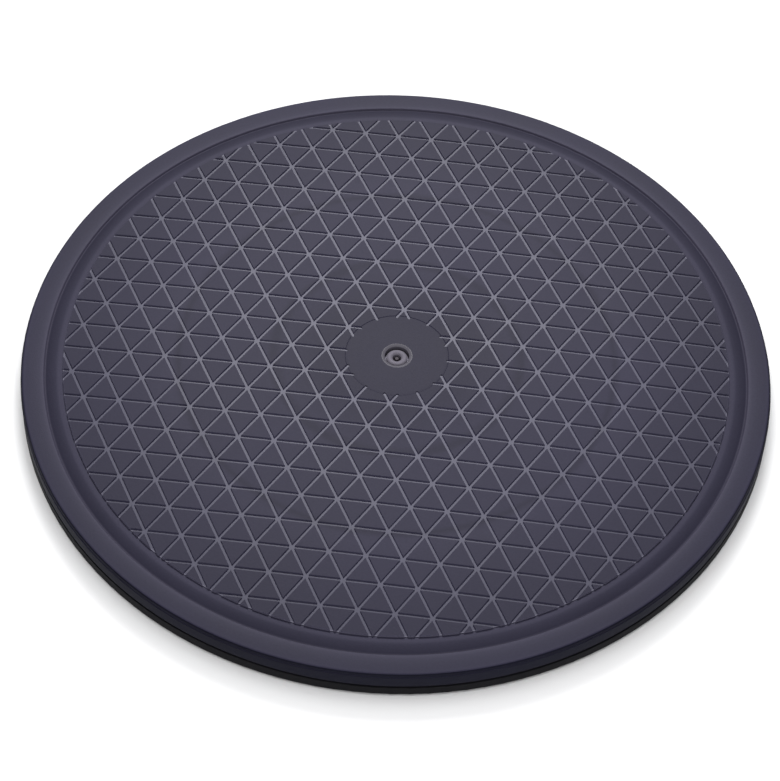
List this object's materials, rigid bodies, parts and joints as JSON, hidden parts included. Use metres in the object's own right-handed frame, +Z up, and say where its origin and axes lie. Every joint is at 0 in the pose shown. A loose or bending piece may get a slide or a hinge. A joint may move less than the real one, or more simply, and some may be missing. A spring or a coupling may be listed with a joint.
{
  "type": "pivot disc",
  "caption": "Low round turning disc for standing transfers: a crowned non-slip top disc turns on a ball race over a flat base disc with rubber feet.",
  "frame": {"origin": "on the floor under the rivet: the centre of the bounding box's bottom face", "axes": "+Z up along the rivet, +X along one family of the tread's grooves"},
  "size_m": [0.382, 0.382, 0.0219],
  "materials": {
    "disc_plastic": "fine spark texture, satin groove floors",
    "rivet_metal": "dull zinc plate",
    "washer_steel": "black oxide",
    "bearing_plastic": "natural acetal",
    "cage_plastic": "natural nylon",
    "ball_steel": "polished",
    "foot_rubber": "matt"
  },
  "bodies": {
    "base": {"bottom_disc": "disc_plastic", "pivot_rivet": "rivet_metal", "rivet_mandrel": "rivet_metal", "clinch_washer": "washer_steel", "thrust_washer": "bearing_plastic", "foot_pad_1": "foot_rubber", "foot_pad_2": "foot_rubber", "foot_pad_3": "foot_rubber", "foot_pad_4": "foot_rubber", "foot_pad_5": "foot_rubber", "foot_pad_6": "foot_rubber"},
    "top": {"top_disc": "disc_plastic", "hub_bush": "bearing_plastic", "head_washer": "washer_steel"},
    "ball_ring": {"ball_cage": "cage_plastic", "ball_01": "ball_steel", "ball_02": "ball_steel", "ball_03": "ball_steel", "ball_04": "ball_steel", "ball_05": "ball_steel", "ball_06": "ball_steel", "ball_07": "ball_steel", "ball_08": "ball_steel", "ball_09": "ball_steel", "ball_10": "ball_steel", "ball_11": "ball_steel", "ball_12": "ball_steel", "ball_13": "ball_steel", "ball_14": "ball_steel", "ball_15": "ball_steel", "ball_16": "ball_steel", "ball_17": "ball_steel", "ball_18": "ball_steel", "ball_19": "ball_steel", "ball_20": "ball_steel", "ball_21": "ball_steel", "ball_22": "ball_steel", "ball_23": "ball_steel", "ball_24": "ball_steel"}
  },
  "joints": [
    {"name": "top_spin", "type": "hinge", "parent": "base", "child": "top", "pos_m": [0, 0, 0.008], "axis": [0, 0, 1], "continuous": true},
    {"name": "cage_spin", "type": "hinge", "parent": "base", "child": "ball_ring", "pos_m": [0, 0, 0.008], "axis": [0, 0, 1], "continuous": true}
  ],
  "couplings": [
    {"joint": "cage_spin", "follows": "top_spin", "ratio": 0.5}
  ]
}
